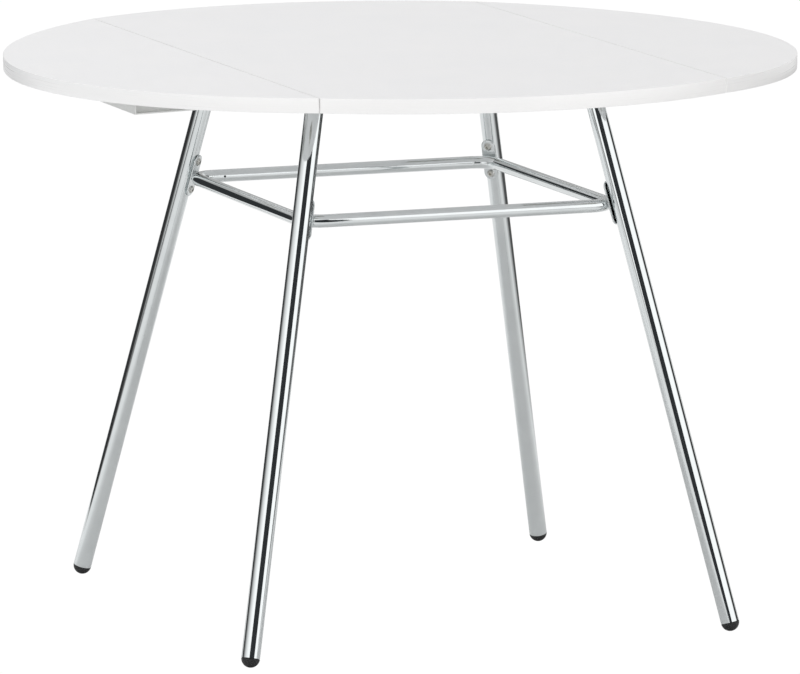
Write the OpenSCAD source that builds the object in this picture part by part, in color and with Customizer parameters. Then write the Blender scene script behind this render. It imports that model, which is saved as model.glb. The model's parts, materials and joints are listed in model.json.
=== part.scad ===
// Round drop-leaf dining table: a fixed centre panel with two folding D-shaped
// leaves, on four splayed chromed legs that are tied together by a square ring
// of tube. X runs across the seams, Y along them, Z up from the floor, and the
// origin is on the floor under the middle of the top.

/* [Top] */
// Diameter of the round top with both leaves raised
top_d = 1040; // [860:10:1250]
// Height of the top surface above the floor
top_h = 740; // [680:5:900]
// Thickness of the three boards
board_t = 19; // [15:0.5:25]
// Width of the centre panel, from seam to seam
centre_w = 551; // [520:1:680]
// Gap in a seam while the leaf is level
seam_gap = 0.8; // [0.6:0.1:1.5]
// Thickness of the edge band glued round every board
band_t = 1; // [0.5:0.1:2]
// Angle by which the raised left leaf hangs below level
left_sag = 1.5; // [0:0.1:3]
// Angle by which the raised right leaf hangs below level
right_sag = 1.1; // [0:0.1:3]

/* [Hinges] */
// Distance of the middle of each hinge from the end of the seam
hinge_inset = 111; // [80:1:130]
// Length of a hinge along the seam
hinge_len = 60; // [45:1:80]
// Width of one hinge plate across the seam
hinge_plate_w = 28; // [24:1:40]
// Thickness of the hinge plates
hinge_t = 1.5; // [1:0.1:2]
// Outer diameter of the hinge knuckles
knuckle_d = 8; // [7:0.5:10]
// Diameter of the hinge pins
hinge_pin_d = 4; // [3:0.5:5]
// Radial running fit of the hinge pins
hinge_fit = 0.05; // [0.02:0.01:0.1]
// Space between hinge parts that move past each other
hinge_gap = 0.4; // [0.3:0.1:0.8]

/* [Legs] */
// Leg centre at the top, out from the middle across the seams
leg_top_x = 187.5; // [150:0.5:200]
// Leg centre at the top, out from the middle along the seams
leg_top_y = 191.5; // [186:0.5:230]
// How much further out the foot stands than the leg top, in X and again in Y
leg_splay = 144; // [100:1:190]
// Outer diameter of the leg tube
leg_d = 24; // [20:0.5:32]
// Wall of the leg tube
leg_wall = 1.5; // [1:0.1:2.5]
// Side of the square plate on top of each leg
leg_plate_w = 70; // [62:1:90]
// Thickness of the plate on top of each leg
leg_plate_t = 3; // [2:0.5:5]
// Distance between the screws of a leg plate
leg_plate_pitch = 50; // [46:1:54]
// Width of the flat worn on the bottom of each domed foot
foot_flat_d = 6; // [4:0.5:10]
// Length of the foot's plug inside the tube
foot_plug_len = 25; // [15:1:40]
// Radial gap between the foot's plug and the tube
foot_plug_fit = 0.1; // [0.05:0.05:0.3]

/* [Stretcher ring] */
// Distance of the ring's centre line below the leg tops
ring_drop = 168; // [120:1:320]
// Outer diameter of the ring tube
ring_d = 17; // [14:0.5:22]
// Wall of the ring tube
ring_wall = 1.5; // [1:0.1:2]
// Bend radius of the ring's corners at the tube's centre line
ring_bend = 30; // [24:1:60]
// Width of the oval plate at each corner
ring_plate_w = 20; // [18:0.5:24]
// Length of the oval plate along the leg
ring_plate_len = 58; // [54:1:80]
// Thickness of the oval plate
ring_plate_t = 2.5; // [2:0.5:4]
// Distance between the two screws of a corner
ring_screw_pitch = 39; // [37:0.5:50]
// Depth to which the ring's weld bites into the plate
weld_bite = 0.2; // [0.1:0.05:0.3]
// Diameter of the plating vent hole in the back rail
vent_d = 3; // [2:0.5:5]
// Distance of the vent hole from the middle of the back rail
vent_x = 170; // [100:5:175]

/* [Leaf supports] */
// Distance of a support frame's outer end from the outer edge of the leaf
support_inset = 91.5; // [60:0.5:150]
// Width of a support frame along the seam
support_w = 354; // [300:2:460]
// Height of the channel sections
channel_h = 20; // [19:0.5:30]
// Width of the channel flanges
channel_w = 12; // [11:0.5:16]
// Thickness of the channel sheet
channel_t = 1.5; // [1:0.1:2]
// Space between a raised leaf and its support frame, filled by the buffers
support_gap = 3; // [2.5:0.5:6]
// Distance of the support pivot inboard of the hinge axis
pivot_in = 20; // [18:1:30]
// Distance of the support pivot below the boards
pivot_drop = 15; // [15:0.5:18]
// Radius of the round ends of brackets and rails at the support pivots
lug_r = 9; // [8:0.5:10]
// Diameter of the support pivot rivets
pivot_d = 8; // [6:0.5:10]
// Radial running fit of the support pivot rivets
pivot_fit = 0.05; // [0.02:0.01:0.1]
// Sideways space between the bracket ear, the channel and the rivet heads
pivot_gap = 0.5; // [0.3:0.1:1]
// Thickness of the pivot brackets
bracket_t = 2; // [1.5:0.5:3]
// Distance of a buffer from the end of the channel
buffer_inset = 10; // [8:0.5:20]
// Diameter of a buffer's pad and head
buffer_d = 9; // [7:0.5:10]

/* [Fasteners] */
// Thread diameter of the button-head screws of the ring
button_d = 6; // [5:0.5:6]
// Head diameter of the button-head screws
button_head_d = 11; // [9:0.5:12]
// Head height of the button-head screws
button_head_h = 3.4; // [2.5:0.1:4]
// Length of the button-head screws under the head
button_len = 12; // [8:1:14]
// Thread diameter of the wood screws
wood_screw_d = 4; // [3:0.5:4]
// Head diameter of the wood screws
wood_head_d = 8; // [6:0.5:8]
// Head height of the wood screws
wood_head_h = 2.4; // [1.5:0.1:3]
// Depth to which the wood screws go into a board
wood_screw_bite = 12; // [8:0.5:13]
// Radial gap between a screw and its hole in a plate
screw_clear = 0.3; // [0.2:0.1:0.5]
// Radial gap between a screw and its pilot hole
pilot_clear = 0.05; // [0.02:0.01:0.1]

/* [Hidden] */
$fn = 96;
eps = 0.01;

white = "white";
chrome = "gainsboro";
steel = "silver";
paint = "darkgray";

// Names for the two signs that pick a corner
left = -1;
right = 1;
front = -1;
back = 1;

// Boards
top_r = top_d / 2;
core_r = top_r - band_t;
under_z = top_h - board_t;
seam_x = centre_w / 2;
centre_x = seam_x - seam_gap / 2;
leaf_x = seam_x + seam_gap / 2;
seam_half = sqrt(top_r * top_r - seam_x * seam_x);
huge = 2 * top_d;

// Hinges: the axis lies under the seam, one gap and one knuckle radius down
hinge_z = under_z - knuckle_d / 2 - hinge_gap;
hinge_y = seam_half - hinge_inset;
knuckle_len = hinge_len / 3;
pin_head_t = 1.2;
pin_head_d = knuckle_d - 1;
hinge_screw_y = knuckle_len;
hinge_screw_far = hinge_plate_w * 0.72;
hinge_screw_near = hinge_plate_w * 0.5;
hinge_holes = [
    [hinge_screw_far, -hinge_screw_y], [hinge_screw_near, 0], [hinge_screw_far, hinge_screw_y],
];

// Legs: a line from the leg plate to the centre of the foot's dome
leg_r = leg_d / 2;
leg_top_z = under_z - leg_plate_t;
foot_z = sqrt(leg_r * leg_r - foot_flat_d * foot_flat_d / 4);
leg_drop = leg_top_z - foot_z;
leg_lean = atan(leg_splay * sqrt(2) / leg_drop);
leg_len = leg_drop / cos(leg_lean);

// Ring: its corners lie against the oval plates on the inner side of the legs
ring_r = ring_d / 2;
ring_z = leg_top_z - ring_drop;
ring_stand = leg_r + ring_plate_t + ring_r - weld_bite;
ring_out = leg_splay * ring_drop / leg_drop;
ring_inset = ring_stand / cos(leg_lean) / sqrt(2);
ring_corner = ring_bend * (1 - 1 / sqrt(2));
ring_x = leg_top_x + ring_out - ring_inset + ring_corner;
ring_y = leg_top_y + ring_out - ring_inset + ring_corner;
ring_along = ring_drop / cos(leg_lean) - ring_stand * tan(leg_lean);

// Supports, drawn for the left side with the leaf level
pivot_x = seam_x - pivot_in;
pivot_z = under_z - pivot_drop;
channel_top = under_z - support_gap;
channel_bottom = channel_top - channel_h;
support_end_x = top_r - support_inset;
rail_end_x = support_end_x - channel_t;
support_y = support_w / 2;
web_y = support_y - channel_w;
ear_y = web_y - pivot_gap;
rivet_head_d = 2 * (pivot_z - channel_bottom - channel_t - pivot_gap);
rivet_head_t = 2;
bracket_x = 16;
bracket_foot_w = 24;
buffer_x = rail_end_x - buffer_inset;
buffer_y = web_y + channel_t + (channel_w - channel_t) / 2;
buffer_stem_d = 5;
buffer_play = 0.3;
bracket_holes = [[-9, -bracket_foot_w / 2], [9, -bracket_foot_w / 2]];

// ---------- placing ----------

// Mirrors what is drawn for the left side to the right when s is right
module on_side(s) {
    mirror([s == right ? 1 : 0, 0, 0]) children();
}

// Mirrors what is drawn for the back to the front when e is front
module on_end(e) {
    mirror([0, e == front ? 1 : 0, 0]) children();
}

function sag(s) = s == left ? left_sag : right_sag;

// Turns a left-hand piece down by the leaf's sag about an axis along the seam
module hang(s, x, z) {
    on_side(s) translate([-x, 0, z]) rotate([0, -sag(s), 0]) translate([x, 0, -z]) children();
}

module leaf_pose(s) {
    hang(s, seam_x, hinge_z) children();
}

module support_pose(s) {
    hang(s, pivot_x, pivot_z) children();
}

// Leg frame: origin at the leg top, +Z down the leg, +X to the table's middle
module along_leg(s, e) {
    translate([s * leg_top_x, e * leg_top_y, leg_top_z])
        rotate([0, 0, atan2(e, s)]) rotate([0, 180 - leg_lean, 0]) children();
}

module below(z) {
    translate([-huge / 2, -huge / 2, z - huge]) cube(huge);
}

module above(z) {
    translate([-huge / 2, -huge / 2, z]) cube(huge);
}

module box(x0, x1, y0, y1, z0, z1) {
    translate([x0, y0, z0]) cube([x1 - x0, y1 - y0, z1 - z0]);
}

// ---------- fasteners, each with its head below z = 0 and its shank up ----------

module dome(d, h) {
    r = (d * d / 4 + h * h) / (2 * h);
    intersection() {
        translate([0, 0, r - h]) sphere(r = r);
        translate([0, 0, -h - 1]) cylinder(h = h + 1, d = d + 1);
    }
}

module wood_screw(through) {
    difference() {
        union() {
            dome(wood_head_d, wood_head_h);
            cylinder(h = through + wood_screw_bite, d = wood_screw_d);
        }
        translate([0, 0, -wood_head_h - eps]) cross_recess();
    }
}

module cross_recess() {
    arm = wood_head_d * 0.55;
    slot = 0.9;
    deep = 1.3;
    translate([-arm / 2, -slot / 2, 0]) cube([arm, slot, deep]);
    translate([-slot / 2, -arm / 2, 0]) cube([slot, arm, deep]);
}

module button_screw() {
    difference() {
        union() {
            dome(button_head_d, button_head_h);
            cylinder(h = button_len, d = button_d);
        }
        translate([0, 0, -button_head_h - eps]) cylinder(h = 2, d = button_head_d * 0.42, $fn = 6);
    }
}

module pilot_hole() {
    translate([0, 0, -eps]) cylinder(h = wood_screw_bite + 1, d = wood_screw_d + 2 * pilot_clear);
}

module plate_hole(t) {
    translate([0, 0, -1]) cylinder(h = t + 2, d = wood_screw_d + 2 * screw_clear);
}

// ---------- places where fasteners go ----------

module at_leg_plate_holes(s, e, z) {
    for (i = [-1, 1], j = [-1, 1])
        translate([s * leg_top_x + i * leg_plate_pitch / 2, e * leg_top_y + j * leg_plate_pitch / 2, z])
            children();
}

// dir is 1 for the half on the centre panel and -1 for the half on the leaf
module at_hinge_holes(dir, z) {
    for (e = [front, back], p = hinge_holes)
        translate([-seam_x + dir * p[0], e * hinge_y + p[1], z]) children();
}

module at_bracket_holes(z) {
    for (e = [front, back], p = bracket_holes)
        on_end(e) translate([-pivot_x + p[0], ear_y + p[1], z]) children();
}

module at_ring_holes() {
    for (k = [-1, 1]) translate([0, 0, ring_along + k * ring_screw_pitch / 2]) children();
}

// ---------- the top ----------

module board_disc(r) {
    translate([0, 0, under_z]) cylinder(h = board_t, r = r, $fn = 192);
}

module between(x0, x1) {
    box(x0, x1, -huge / 2, huge / 2, under_z - 1, top_h + 1);
}

module arc_band() {
    difference() {
        board_disc(top_r);
        translate([0, 0, -1]) board_disc(core_r);
        translate([0, 0, 1]) board_disc(core_r);
    }
}

module centre_panel() {
    color(white) difference() {
        intersection() {
            board_disc(core_r);
            between(-centre_x + band_t, centre_x - band_t);
        }
        for (s = [left, right], e = [front, back]) at_leg_plate_holes(s, e, under_z) pilot_hole();
        for (s = [left, right]) on_side(s) at_hinge_holes(1, under_z) pilot_hole();
        for (s = [left, right]) on_side(s) at_bracket_holes(under_z) pilot_hole();
    }
}

module centre_arc_band(e) {
    color(white) on_end(e) intersection() {
        arc_band();
        box(-centre_x + band_t, centre_x - band_t, 0, huge, under_z - 1, top_h + 1);
    }
}

module centre_seam_band(s) {
    color(white) on_side(s) intersection() {
        board_disc(top_r);
        between(-centre_x, -centre_x + band_t);
    }
}

module leaf(s) {
    color(white) leaf_pose(s) difference() {
        intersection() {
            board_disc(core_r);
            between(-huge / 2, -leaf_x - band_t);
        }
        at_hinge_holes(-1, under_z) pilot_hole();
    }
}

module leaf_arc_band(s) {
    color(white) leaf_pose(s) intersection() {
        arc_band();
        between(-huge / 2, -leaf_x - band_t);
    }
}

module leaf_seam_band(s) {
    color(white) leaf_pose(s) intersection() {
        board_disc(top_r);
        between(-leaf_x - band_t, -leaf_x);
    }
}

// ---------- hinges, drawn for the left seam ----------

// A length of cylinder on the hinge axis, from y0 to y1 along the hinge
module on_axis(d, y0, y1) {
    translate([0, y0, 0]) rotate([-90, 0, 0]) cylinder(h = y1 - y0, d = d);
}

// Centre half: one middle knuckle
module hinge_half_centre() {
    half = hinge_len / 2;
    mid = knuckle_len / 2;
    difference() {
        union() {
            box(0, hinge_plate_w, -half, half, under_z - hinge_z - hinge_t, under_z - hinge_z);
            on_axis(knuckle_d, -mid, mid);
        }
        for (e = [front, back])
            on_end(e) on_axis(knuckle_d + 2 * hinge_gap, mid + eps, half + 1);
        on_axis(hinge_pin_d + 2 * hinge_fit, -half - 1, half + 1);
        for (p = hinge_holes) translate([p[0], p[1], 0]) plate_hole(knuckle_d);
    }
}

// Leaf half: two outer knuckles
module hinge_half_leaf() {
    half = hinge_len / 2;
    mid = knuckle_len / 2 + hinge_gap;
    difference() {
        union() {
            box(-hinge_plate_w, 0, -half, half, under_z - hinge_z - hinge_t, under_z - hinge_z);
            for (e = [front, back]) on_end(e) on_axis(knuckle_d, mid, half);
        }
        on_axis(knuckle_d + 2 * hinge_gap, -mid, mid);
        on_axis(hinge_pin_d + 2 * hinge_fit, -half - 1, half + 1);
        for (p = hinge_holes) translate([-p[0], p[1], 0]) plate_hole(knuckle_d);
    }
}

module at_hinges() {
    for (e = [front, back]) translate([-seam_x, e * hinge_y, hinge_z]) children();
}

module hinge_plates_centre() {
    color(steel) for (s = [left, right]) on_side(s) at_hinges() hinge_half_centre();
}

module hinge_plates(s) {
    color(steel) leaf_pose(s) at_hinges() hinge_half_leaf();
}

module hinge_pins() {
    over = hinge_len / 2 + hinge_gap;
    color(steel) for (s = [left, right]) on_side(s) at_hinges() {
        on_axis(hinge_pin_d, -over, over);
        for (e = [front, back]) on_end(e) on_axis(pin_head_d, over, over + pin_head_t);
    }
}

module hinge_screws_centre() {
    color(steel) for (s = [left, right])
        on_side(s) at_hinge_holes(1, under_z - hinge_t) wood_screw(hinge_t);
}

module hinge_screws(s) {
    color(steel) leaf_pose(s) at_hinge_holes(-1, under_z - hinge_t) wood_screw(hinge_t);
}

// ---------- legs ----------

module leg(s, e) {
    color(chrome) intersection() {
        along_leg(s, e) difference() {
            translate([0, 0, -leg_d]) cylinder(h = leg_len + leg_d, r = leg_r);
            translate([0, 0, -leg_d - 1]) cylinder(h = leg_len + leg_d + 2, r = leg_r - leg_wall);
            at_ring_holes() rotate([0, 90, 0]) cylinder(h = leg_d, d = button_d + 2 * pilot_clear);
        }
        below(leg_top_z);
    }
}

module leg_plate(s, e) {
    w = leg_plate_w / 2;
    x = s * leg_top_x;
    y = e * leg_top_y;
    color(steel) difference() {
        box(x - w, x + w, y - w, y + w, leg_top_z, under_z);
        at_leg_plate_holes(s, e, leg_top_z) plate_hole(leg_plate_t);
    }
}

module leg_plate_screws() {
    color(steel) for (s = [left, right], e = [front, back])
        at_leg_plate_holes(s, e, leg_top_z) wood_screw(leg_plate_t);
}

module foot(s, e) {
    plug_r = leg_r - leg_wall - foot_plug_fit;
    color("black") intersection() {
        along_leg(s, e) translate([0, 0, leg_len]) union() {
            intersection() {
                sphere(r = leg_r);
                cylinder(h = leg_d, r = leg_d);
            }
            translate([0, 0, -foot_plug_len]) cylinder(h = foot_plug_len + 1, r = plug_r);
        }
        above(0);
    }
}

// ---------- stretcher ring ----------

// The closed path of the ring swept by a round section of radius r
module ring_sweep(r) {
    straight_x = ring_x - ring_bend;
    straight_y = ring_y - ring_bend;
    for (e = [front, back])
        translate([-straight_x, e * ring_y, ring_z]) rotate([0, 90, 0])
            cylinder(h = 2 * straight_x, r = r);
    for (s = [left, right])
        translate([s * ring_x, -straight_y, ring_z]) rotate([-90, 0, 0])
            cylinder(h = 2 * straight_y, r = r);
    for (q = [0:3])
        translate([(q == 0 || q == 3 ? 1 : -1) * straight_x, (q < 2 ? 1 : -1) * straight_y, ring_z])
            rotate([0, 0, 90 * q]) rotate_extrude(angle = 90) translate([ring_bend, 0]) circle(r = r);
}

module stretcher_ring() {
    color(chrome) difference() {
        ring_sweep(ring_r);
        ring_sweep(ring_r - ring_wall);
        translate([-vent_x, ring_y, ring_z]) rotate([90, 0, 0]) cylinder(h = ring_d, d = vent_d);
    }
}

module ring_plate(s, e) {
    flat = ring_plate_len - ring_plate_w;
    hole_d = button_d + 2 * screw_clear;
    color(chrome) along_leg(s, e) translate([leg_r, 0, 0]) difference() {
        union() {
            translate([0, -ring_plate_w / 2, ring_along - flat / 2])
                cube([ring_plate_t, ring_plate_w, flat]);
            for (k = [-1, 1]) translate([0, 0, ring_along + k * flat / 2]) rotate([0, 90, 0])
                cylinder(h = ring_plate_t, d = ring_plate_w);
        }
        at_ring_holes() translate([-1, 0, 0]) rotate([0, 90, 0])
            cylinder(h = ring_plate_t + 2, d = hole_d);
    }
}

module ring_screws() {
    color(steel) for (s = [left, right], e = [front, back])
        along_leg(s, e) at_ring_holes() translate([leg_r + ring_plate_t, 0, 0])
            rotate([0, -90, 0]) button_screw();
}

// ---------- leaf supports, drawn for the left side ----------

module support_bracket(e) {
    on_end(e) difference() {
        union() {
            box(-pivot_x - bracket_x, -pivot_x + bracket_x,
                ear_y - bracket_foot_w, ear_y, under_z - bracket_t, under_z);
            box(-pivot_x - lug_r, -pivot_x + lug_r, ear_y - bracket_t, ear_y, pivot_z, under_z);
            translate([-pivot_x, ear_y - bracket_t, pivot_z]) rotate([-90, 0, 0])
                cylinder(h = bracket_t, r = lug_r);
        }
        translate([-pivot_x, 0, pivot_z]) rotate([-90, 0, 0])
            cylinder(h = support_w, d = pivot_d + 2 * pivot_fit);
        for (p = bracket_holes) translate([-pivot_x + p[0], ear_y + p[1], under_z - bracket_t])
            plate_hole(bracket_t);
    }
}

module support_brackets() {
    color(paint) for (s = [left, right], e = [front, back]) on_side(s) support_bracket(e);
}

module support_bracket_screws() {
    color(steel) for (s = [left, right])
        on_side(s) at_bracket_holes(under_z - bracket_t) wood_screw(bracket_t);
}

module support_rivets() {
    inner = ear_y - bracket_t - pivot_gap;
    outer = web_y + channel_t + pivot_gap;
    color(steel) for (s = [left, right], e = [front, back])
        on_side(s) on_end(e) translate([-pivot_x, 0, pivot_z]) {
            on_axis(pivot_d, inner, outer);
            on_axis(rivet_head_d, inner - rivet_head_t, inner);
            on_axis(rivet_head_d, outer, outer + rivet_head_t);
        }
}

// Side rail: a channel that opens outwards, with a round lug at its pivot
module support_rail(s, e) {
    web_end = web_y + channel_t;
    color(paint) support_pose(s) on_end(e) difference() {
        union() {
            box(-rail_end_x, -pivot_x, web_y, web_end, channel_bottom, channel_top - pivot_gap);
            box(-rail_end_x, -pivot_x - 2, web_y, support_y, channel_top - channel_t, channel_top);
            box(-rail_end_x, -pivot_x, web_y, support_y, channel_bottom, channel_bottom + channel_t);
            translate([-pivot_x, web_y, pivot_z]) rotate([-90, 0, 0])
                cylinder(h = channel_t, r = lug_r);
        }
        translate([-pivot_x, 0, pivot_z]) rotate([-90, 0, 0])
            cylinder(h = support_w, d = pivot_d + 2 * pivot_fit);
        translate([-buffer_x, buffer_y, channel_top - channel_t - 1])
            cylinder(h = channel_t + 2, d = buffer_stem_d + 2 * screw_clear);
    }
}

// End piece: a channel that opens to the table's middle, its web full width
module support_end(s) {
    inner_y = web_y - pivot_gap;
    inner_x = rail_end_x - channel_w + channel_t;
    color(paint) support_pose(s) union() {
        box(-support_end_x, -rail_end_x, -support_y, support_y, channel_bottom, channel_top);
        box(-rail_end_x, -inner_x, -inner_y, inner_y, channel_top - channel_t, channel_top);
        box(-rail_end_x, -inner_x, -inner_y, inner_y, channel_bottom, channel_bottom + channel_t);
    }
}

// Buffer: a pad under the leaf, a stem through the flange and a domed head
module support_buffers(s) {
    pad_h = support_gap - buffer_play;
    color("ivory") support_pose(s) for (e = [front, back])
        on_end(e) translate([-buffer_x, buffer_y, channel_top]) {
            cylinder(h = pad_h, d = buffer_d);
            translate([0, 0, -channel_t]) cylinder(h = channel_t + 1, d = buffer_stem_d);
            translate([0, 0, -channel_t]) dome(buffer_d, buffer_d / 2);
        }
}

centre_panel();
centre_arc_band(front);  // centre_band_front
centre_arc_band(back);  // centre_band_back
centre_seam_band(left);  // centre_band_left
centre_seam_band(right);  // centre_band_right
leaf(left);  // leaf_left
leaf_arc_band(left);  // leaf_left_band
leaf_seam_band(left);  // leaf_left_seam_band
leaf(right);  // leaf_right
leaf_arc_band(right);  // leaf_right_band
leaf_seam_band(right);  // leaf_right_seam_band
hinge_plates_centre();
hinge_plates(left);  // hinge_plates_left
hinge_plates(right);  // hinge_plates_right
hinge_pins();
hinge_screws_centre();
hinge_screws(left);  // hinge_screws_left
hinge_screws(right);  // hinge_screws_right
leg(left, front);  // leg_front_left
leg(right, front);  // leg_front_right
leg(left, back);  // leg_back_left
leg(right, back);  // leg_back_right
leg_plate(left, front);  // leg_plate_front_left
leg_plate(right, front);  // leg_plate_front_right
leg_plate(left, back);  // leg_plate_back_left
leg_plate(right, back);  // leg_plate_back_right
leg_plate_screws();
foot(left, front);  // foot_front_left
foot(right, front);  // foot_front_right
foot(left, back);  // foot_back_left
foot(right, back);  // foot_back_right
stretcher_ring();
ring_plate(left, front);  // ring_plate_front_left
ring_plate(right, front);  // ring_plate_front_right
ring_plate(left, back);  // ring_plate_back_left
ring_plate(right, back);  // ring_plate_back_right
ring_screws();
support_brackets();
support_bracket_screws();
support_rivets();
support_rail(left, front);  // support_left_front_rail
support_rail(left, back);  // support_left_back_rail
support_end(left);  // support_left_end
support_buffers(left);  // support_left_buffers
support_rail(right, front);  // support_right_front_rail
support_rail(right, back);  // support_right_back_rail
support_end(right);  // support_right_end
support_buffers(right);  // support_right_buffers
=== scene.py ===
"""Looks of a round drop-leaf table: boards, chromed legs and ring, hinges and leaf supports."""

import json
import math

import bmesh
import bpy
from bpy.props import FloatProperty, FloatVectorProperty, PointerProperty
from mathutils import Matrix, Vector


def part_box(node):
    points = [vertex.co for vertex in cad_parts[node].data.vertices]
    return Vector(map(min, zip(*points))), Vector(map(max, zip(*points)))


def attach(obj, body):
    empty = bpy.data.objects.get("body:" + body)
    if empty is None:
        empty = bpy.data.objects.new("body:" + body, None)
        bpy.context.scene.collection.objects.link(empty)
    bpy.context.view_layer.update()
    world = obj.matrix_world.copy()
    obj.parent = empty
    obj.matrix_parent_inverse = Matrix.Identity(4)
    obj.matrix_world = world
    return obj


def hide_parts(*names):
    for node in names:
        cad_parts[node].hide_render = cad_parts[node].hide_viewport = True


bl_info = {
    "name": "Round drop-leaf table",
    "version": (1, 0, 0),
    "blender": (4, 5, 0),
    "location": "View3D > Sidebar > Table",
    "description": "Builds the boards, legs, ring, hinges and supports of a drop-leaf table",
    "category": "Object",
}

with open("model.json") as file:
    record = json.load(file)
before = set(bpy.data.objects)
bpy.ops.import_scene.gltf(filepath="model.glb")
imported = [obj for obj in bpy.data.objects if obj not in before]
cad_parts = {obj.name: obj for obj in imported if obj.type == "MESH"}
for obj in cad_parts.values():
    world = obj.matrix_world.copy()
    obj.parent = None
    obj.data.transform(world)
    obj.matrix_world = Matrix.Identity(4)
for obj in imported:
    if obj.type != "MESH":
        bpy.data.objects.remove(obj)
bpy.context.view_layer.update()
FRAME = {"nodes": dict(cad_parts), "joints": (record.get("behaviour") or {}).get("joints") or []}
MM = 0.001
SIDES = {"left": -1, "right": 1}
ENDS = {"front": -1, "back": 1}
CORNERS = [(end, side) for end in ENDS for side in SIDES]
JOINT_OF = {joint["child"]: joint for joint in FRAME["joints"]}
UP = Vector((0, 0, 1))
TUBE_FLATS = 96  # Flats round a leg tube or a foot, enough to look round
SEEN_WHITE = 1.02  # Brightness of the floor and walls where they are seen directly


def linear(code):
    """One sRGB hex colour as linear red, green and blue."""
    parts = [int(code[i : i + 2], 16) / 255 for i in (0, 2, 4)]
    return tuple(c / 12.92 if c <= 0.04045 else ((c + 0.055) / 1.055) ** 2.4 for c in parts)


# ---------------------------------------------------------------- settings


def length_mm(name, description, value, low, high):
    """A length setting, given in millimetres and kept in metres."""
    return FloatProperty(
        name=name,
        description=description,
        default=value * MM,
        min=low * MM,
        max=high * MM,
        unit="LENGTH",
        precision=4,
    )


def colour(name, description, code):
    return FloatVectorProperty(
        name=name, description=description, default=linear(code), size=3, subtype="COLOR", min=0, max=1
    )


def angle_of(name, description, degrees):
    return FloatProperty(
        name=name, description=description, default=math.radians(degrees), subtype="ANGLE"
    )


def metres(name, description, value):
    return FloatProperty(name=name, description=description, default=value, unit="LENGTH")


def amount(name, description, value):
    return FloatProperty(name=name, description=description, default=value)


class TableSizes(bpy.types.PropertyGroup):
    """Sizes of details that the joined parts don't give by their own boxes."""

    band: length_mm("Edge band", "Thickness of the edge band", 1.0, 0.4, 3)
    band_round: length_mm("Band rounding", "Rounding scraped on the edge band", 0.6, 0.1, 0.95)
    tube: length_mm("Leg tube", "Outer diameter of the leg tube", 24, 18, 34)
    tube_wall: length_mm("Tube wall", "Wall of the leg and ring tubes", 1.5, 0.8, 3)
    foot_flat: length_mm("Foot flat", "Width of the flat worn on a foot", 6, 2, 12)
    foot_plug: length_mm("Foot plug", "Length of the plug inside the tube", 25, 5, 40)
    ring_bend: length_mm("Ring bend", "Bend radius of the ring's centre line", 30, 20, 80)
    plate_width: length_mm("Oval plate width", "Width of the oval plates", 20, 14, 30)
    plate_length: length_mm("Oval plate length", "Length of the oval plates", 58, 40, 90)
    plate_thick: length_mm("Oval plate thickness", "Thickness of the oval plates", 2.5, 1.5, 5)
    screw_pitch: length_mm("Screw spacing", "Distance between the two screws of a corner", 39, 30, 50)
    button_head: length_mm("Button head", "Diameter of the button heads", 11, 8, 14)
    button_height: length_mm("Button height", "Height of the button heads", 3.4, 2, 5)
    button_shank: length_mm("Button shank", "Thread diameter of the button screws", 6, 4, 8)
    button_length: length_mm("Button length", "Length of a button screw under its head", 12, 8, 20)
    vent: length_mm("Vent hole", "Diameter of the plating vent hole", 3, 1, 6)
    vent_from_middle: length_mm("Vent place", "Vent hole from the middle of the back rail", 170, 0, 180)
    wood_head: length_mm("Wood screw head", "Diameter of the wood screw heads", 8, 5, 10)
    wood_height: length_mm("Wood screw height", "Height of the wood screw heads", 2.4, 1, 4)
    wood_shank: length_mm("Wood screw shank", "Thread diameter of the wood screws", 4, 2, 6)


class TableColours(bpy.types.PropertyGroup):
    """Colours of the finishes."""

    melamine: colour("Melamine", "Light tone of the board faces", "F3F2F2")
    melamine_deep: colour("Melamine, deep", "Deeper tone of the board faces", "EFEFF0")
    band: colour("Edge band", "Edge band", "F1F1F0")
    chrome: colour("Chrome", "Chrome plate", "E1E5E5")
    chrome_deep: colour("Chrome, deep", "Chrome plate where it is thinner", "D4D8D9")
    zinc: colour("Zinc", "Zinc plate", "C3C7CB")
    zinc_warm: colour("Zinc, warm", "Warm tint in the zinc plate", "CBC6B8")
    enamel: colour("Enamel", "Grey enamel of the supports", "EAEBE9")
    foot: colour("Foot", "Black moulded feet", "141516")
    nylon: colour("Nylon", "Natural nylon", "E6E3D8")


class TableStudio(bpy.types.PropertyGroup):
    """Camera and light."""

    aim_x: metres("Aim X", "Point the camera looks at, from the middle", -0.00032)
    aim_z: metres("Aim Z", "Height the camera looks at", 0.35534)
    distance: metres("Distance", "Camera to aim point", 10.3538)
    azimuth: angle_of("Azimuth", "Turn of the camera round the table", -20.8645)
    elevation: angle_of("Elevation", "Camera above the horizon", 9.2644)
    lens: amount("Lens", "Focal length in millimetres", 353.2)
    sky: amount("Sky", "Brightness of the white walls", 0.95)
    front: amount("Front", "Extra brightness of the walls in front", 0.38)
    front_seen: amount("Front light", "Share of that extra that lights the table; mirrors show it all", 0.75)
    low_lamp: amount("Low lamp", "Power of the lamp that lights from below", 3.0)
    high_lamp: amount("High lamp", "Power of the lamp above on the left", 6.0)
    shade: amount("Shade", "Brightness of the dark gaps", 0.045)
    floor: amount("Floor", "Reflectance of the floor", 0.9)
    floor_glow: amount("Floor glow", "Light the floor gives by itself", 0.04)


# ---------------------------------------------------------------- meshes


def new_object(name, shape):
    """A new object in the scene that takes over a shape."""
    mesh = bpy.data.meshes.new(name)
    shape.to_mesh(mesh)
    shape.free()
    made = bpy.data.objects.new(name, mesh)
    bpy.context.scene.collection.objects.link(made)
    return made


def smooth(mesh):
    """Smooth shading, but for edges that turn by more than 32 degrees."""
    mesh.shade_smooth()
    mesh.set_sharp_from_angle(angle=math.radians(32))


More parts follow.
